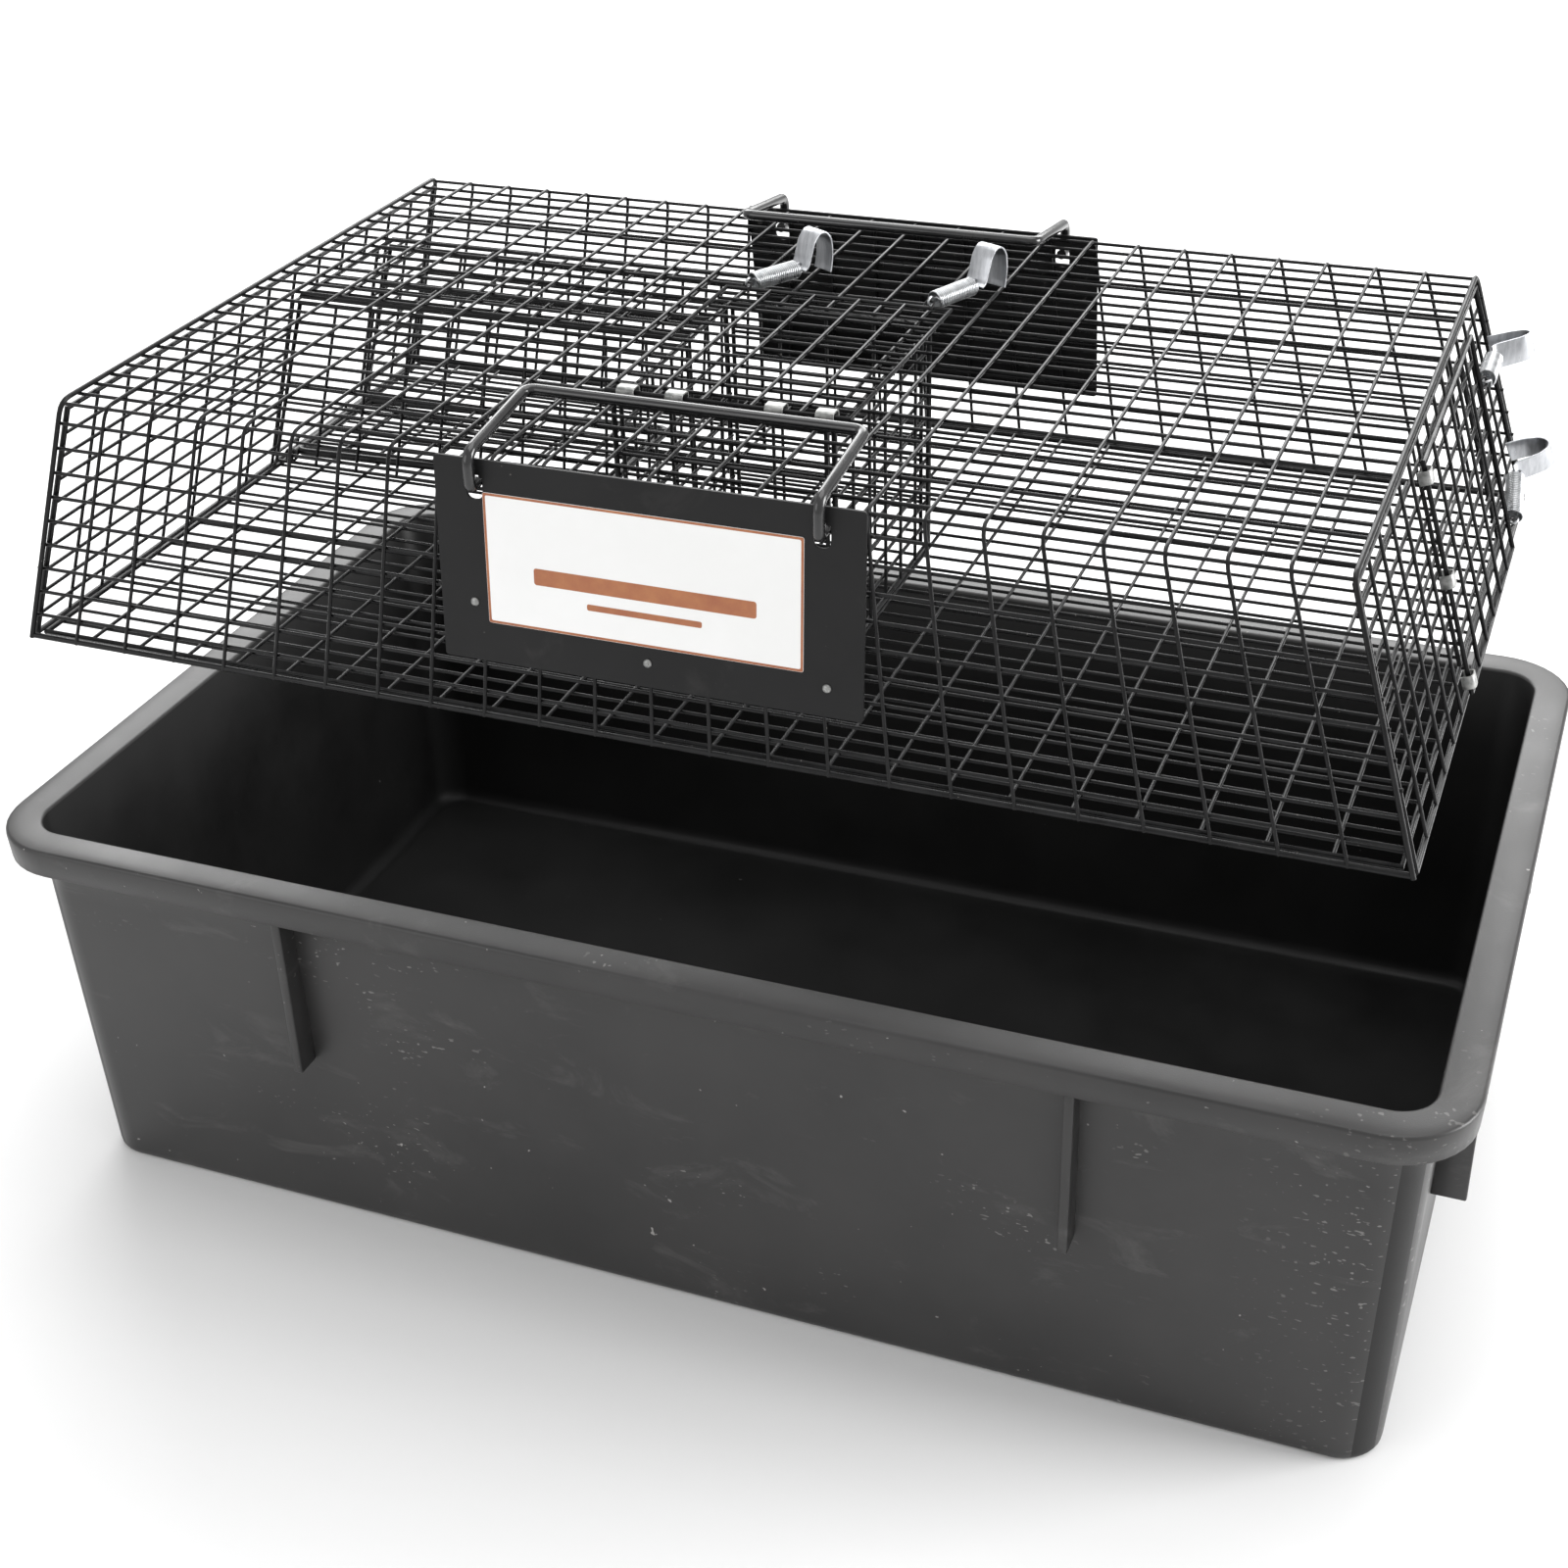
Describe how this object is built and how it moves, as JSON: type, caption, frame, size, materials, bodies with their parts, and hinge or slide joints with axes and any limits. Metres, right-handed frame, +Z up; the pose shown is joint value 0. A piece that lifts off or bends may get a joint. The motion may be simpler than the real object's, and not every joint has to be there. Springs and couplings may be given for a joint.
{
  "type": "multiple catch live rodent trap",
  "caption": "Long shallow welded wire cage trap with an entrance tunnel, hatch doors, spring latches and carrying handles, held over its open plastic tub.",
  "frame": {"origin": "centre of the tub's underside", "axes": "+X along the length towards the release door, +Y to the back, +Z up"},
  "size_m": [0.77, 0.46, 0.4855],
  "materials": {
    "black_wire": "gloss",
    "black_plate": "satin",
    "galvanised": "satin",
    "tub_plastic": "matte",
    "label": "satin"
  },
  "bodies": {
    "tub": {"tub": "tub_plastic"},
    "cage": {"roof_left_mesh": "black_wire", "roof_right_mesh": "black_wire", "roof_front_mesh": "black_wire", "roof_back_mesh": "black_wire", "front_mesh": "black_wire", "back_mesh": "black_wire", "left_end_mesh": "black_wire", "right_end_mesh": "black_wire", "floor_mesh": "black_wire", "bait_box_left": "black_wire", "bait_box_right": "black_wire", "bait_box_front": "black_wire", "bait_box_back": "black_wire", "tunnel_wall_front": "black_wire", "tunnel_wall_back": "black_wire", "tunnel_roof": "black_wire", "ramp_eye_front": "black_wire", "ramp_eye_back": "black_wire", "front_plate": "black_plate", "back_plate": "black_plate", "front_plate_rivet_1": "galvanised", "front_plate_rivet_2": "galvanised", "front_plate_rivet_3": "galvanised", "back_plate_rivet_1": "galvanised", "back_plate_rivet_2": "galvanised", "back_plate_rivet_3": "galvanised", "front_label": "label", "top_door_clip_1": "galvanised", "top_door_clip_2": "galvanised", "top_door_clip_3": "galvanised", "top_door_clip_4": "galvanised", "end_door_clip_1": "galvanised", "end_door_clip_2": "galvanised", "end_door_clip_3": "galvanised"},
    "top_door": {"top_door": "black_wire"},
    "end_door": {"end_door": "black_wire"},
    "front_handle": {"front_handle": "black_wire"},
    "back_handle": {"back_handle": "black_wire"},
    "ramp": {"ramp_frame": "black_wire", "ramp_mesh": "black_wire"},
    "top_latch_left": {"top_latch_left_spring": "galvanised", "top_latch_left_strap": "galvanised"},
    "top_latch_right": {"top_latch_right_spring": "galvanised", "top_latch_right_strap": "galvanised"},
    "end_latch_upper": {"end_latch_upper_spring": "galvanised", "end_latch_upper_strap": "galvanised"},
    "end_latch_lower": {"end_latch_lower_spring": "galvanised", "end_latch_lower_strap": "galvanised"}
  },
  "joints": [
    {"name": "cage_lift", "type": "slide", "parent": "tub", "child": "cage", "axis": [0, 0, 1], "range_m": [-0.3265, 0]},
    {"name": "top_door_hinge", "type": "hinge", "parent": "cage", "child": "top_door", "pos_m": [0, -0.1085, 0.4638], "axis": [1, 0, 0], "range_deg": [0, 110]},
    {"name": "end_door_hinge", "type": "hinge", "parent": "cage", "child": "end_door", "pos_m": [0.3282, -0.0465, 0.39533], "axis": [0.2975, 0, -0.9547], "range_deg": [0, 120]},
    {"name": "front_handle_hinge", "type": "hinge", "parent": "cage", "child": "front_handle", "pos_m": [0, -0.19838, 0.449], "axis": [1, 0, 0], "range_deg": [0, 165]},
    {"name": "back_handle_hinge", "type": "hinge", "parent": "cage", "child": "back_handle", "pos_m": [0, 0.19112, 0.449], "axis": [-1, 0, 0], "range_deg": [0, 165]},
    {"name": "entry_ramp_hinge", "type": "hinge", "parent": "cage", "child": "ramp", "pos_m": [-0.329, 0.075, 0.3406], "axis": [0, -1, 0], "range_deg": [0, 22]},
    {"name": "top_latch_left_swing", "type": "hinge", "parent": "top_door", "child": "top_latch_left", "pos_m": [-0.0452, 0.04339, 0.467], "axis": [0.866, -0.5, 0], "range_deg": [0, 110]},
    {"name": "top_latch_right_swing", "type": "hinge", "parent": "top_door", "child": "top_latch_right", "pos_m": [0.05365, 0.04346, 0.467], "axis": [0.9135, -0.4067, 0], "range_deg": [0, 110]},
    {"name": "end_latch_upper_swing", "type": "hinge", "parent": "end_door", "child": "end_latch_upper", "pos_m": [0.32144, 0.1196, 0.42779], "axis": [0.2975, 0, -0.9547], "range_deg": [0, 110]},
    {"name": "end_latch_lower_swing", "type": "hinge", "parent": "end_door", "child": "end_latch_lower", "pos_m": [0.3443, 0.11946, 0.35441], "axis": [0.2718, 0.4067, -0.8722], "range_deg": [0, 110]}
  ]
}
